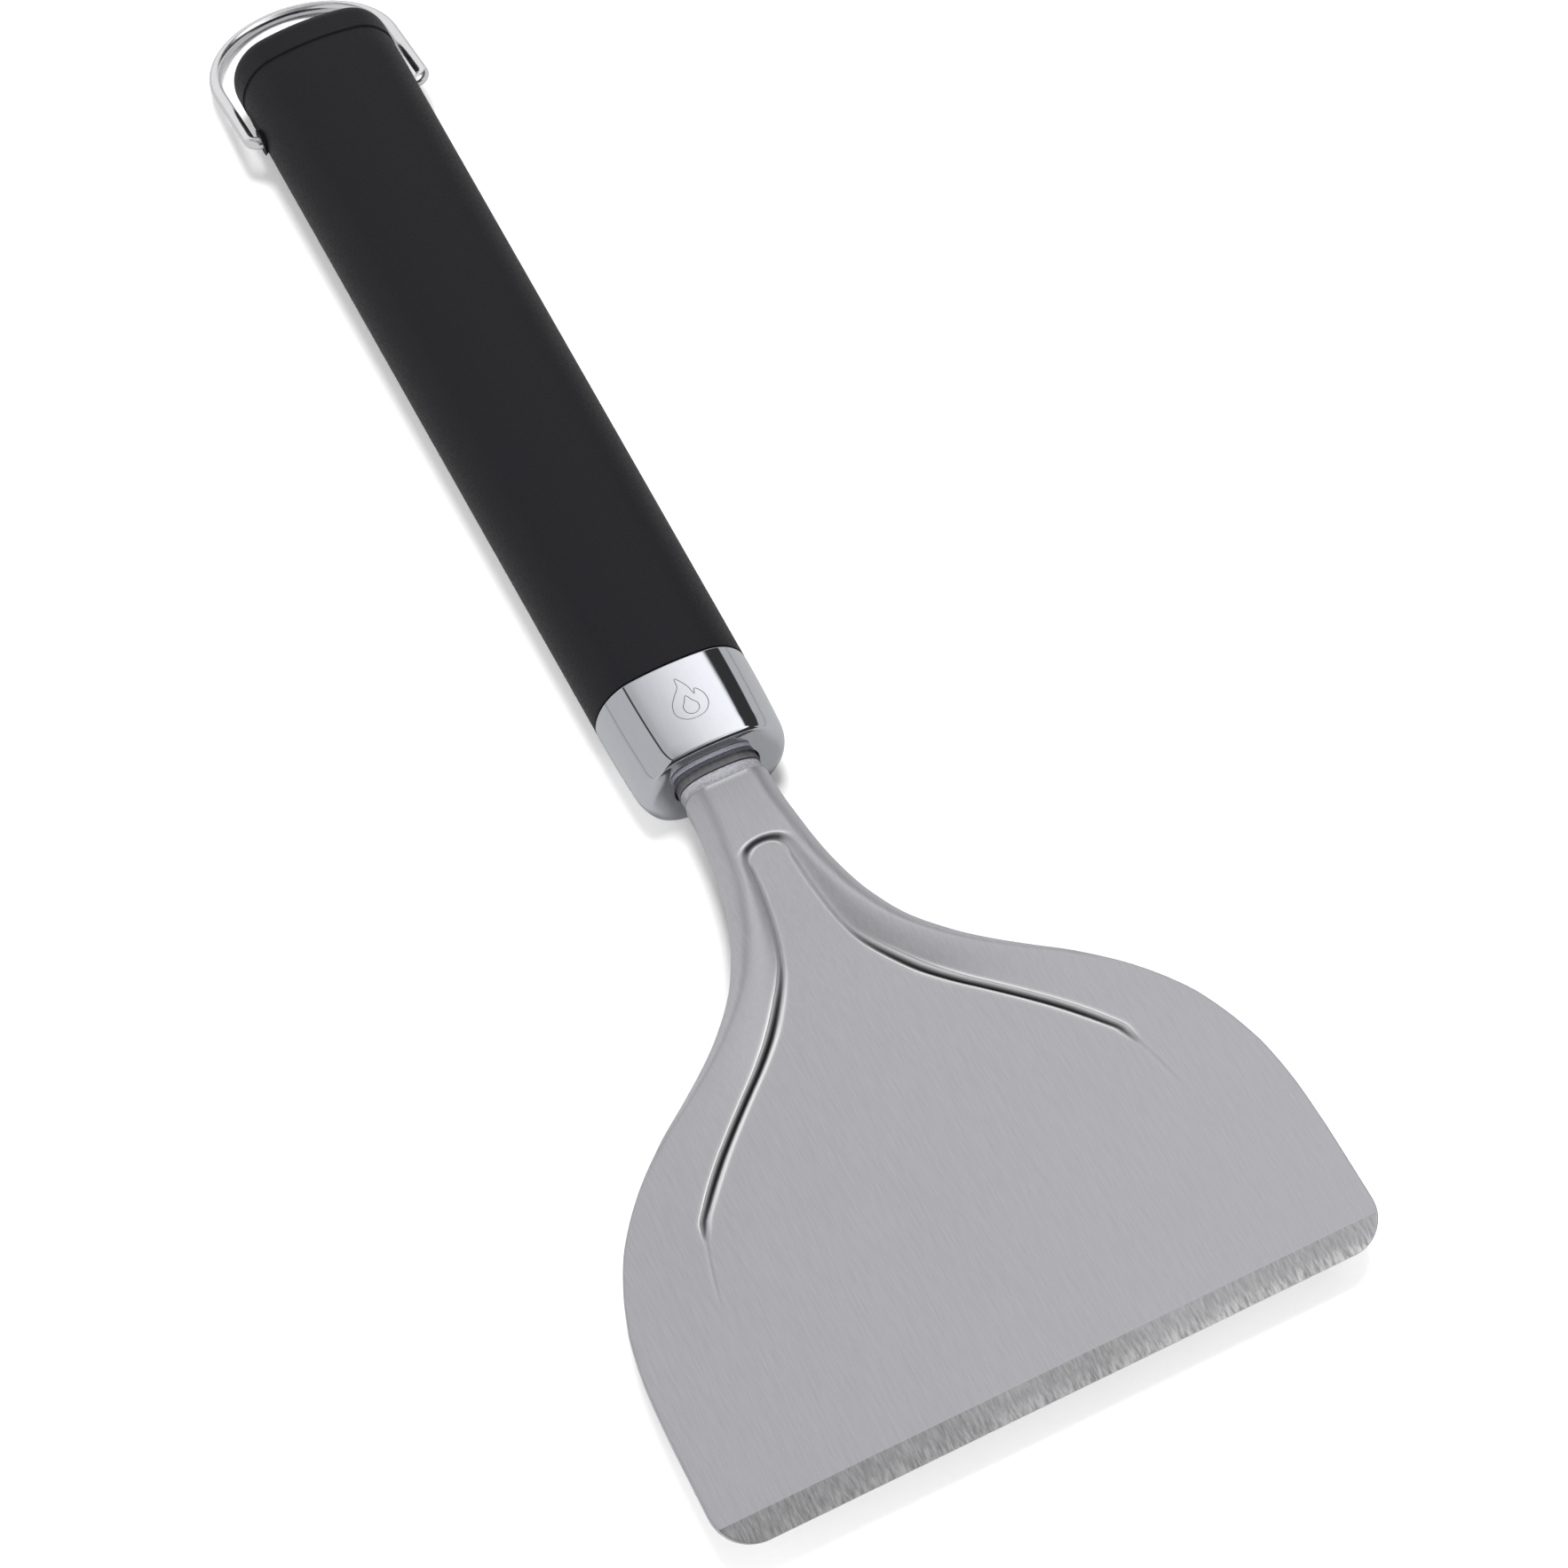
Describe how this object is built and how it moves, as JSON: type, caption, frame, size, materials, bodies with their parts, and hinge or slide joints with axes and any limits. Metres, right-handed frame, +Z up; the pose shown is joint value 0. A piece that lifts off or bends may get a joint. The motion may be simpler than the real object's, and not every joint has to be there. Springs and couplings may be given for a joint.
{
  "type": "grill spatula",
  "caption": "Wide griddle spatula: pressed steel blade with a ground front bevel and hooded neck, chrome ferrule, black oval grip and a swinging wire bail for hanging.",
  "frame": {"origin": "middle of the underside of the bounding box of the tool lying on its handle", "axes": "+Y from the blade along the handle, +Z up out of the blade's upper face, +X across the blade"},
  "size_m": [0.143, 0.4068, 0.0255],
  "materials": {
    "blade": "fine brushed stainless steel, brushed along the blade, ground front bevel",
    "tang": "plain drawn steel bar",
    "tang_pin": "plain steel pin",
    "tang_washer": "plain steel washer",
    "tang_nut": "zinc plated steel nut",
    "neck_seal": "dark grey, satin",
    "neck_collar": "dark grey, satin",
    "ferrule": "mirror polished",
    "handle_core": "moulded nylon",
    "handle_grip": "soft-touch black, very fine grain",
    "end_cap": "soft-touch black, very fine grain",
    "bail": "polished steel wire"
  },
  "bodies": {
    "tool": {"blade": "blade", "tang": "tang", "tang_pin": "tang_pin", "tang_washer": "tang_washer", "tang_nut": "tang_nut", "neck_seal": "neck_seal", "neck_collar": "neck_collar", "ferrule": "ferrule", "handle_core": "handle_core", "handle_grip": "handle_grip", "end_cap": "end_cap"},
    "bail": {"bail": "bail"}
  },
  "joints": [
    {"name": "bail_hinge", "type": "hinge", "parent": "tool", "child": "bail", "pos_m": [0, 0.15686, 0.01275], "axis": [1, 0, 0], "range_deg": [-136, 163]}
  ]
}
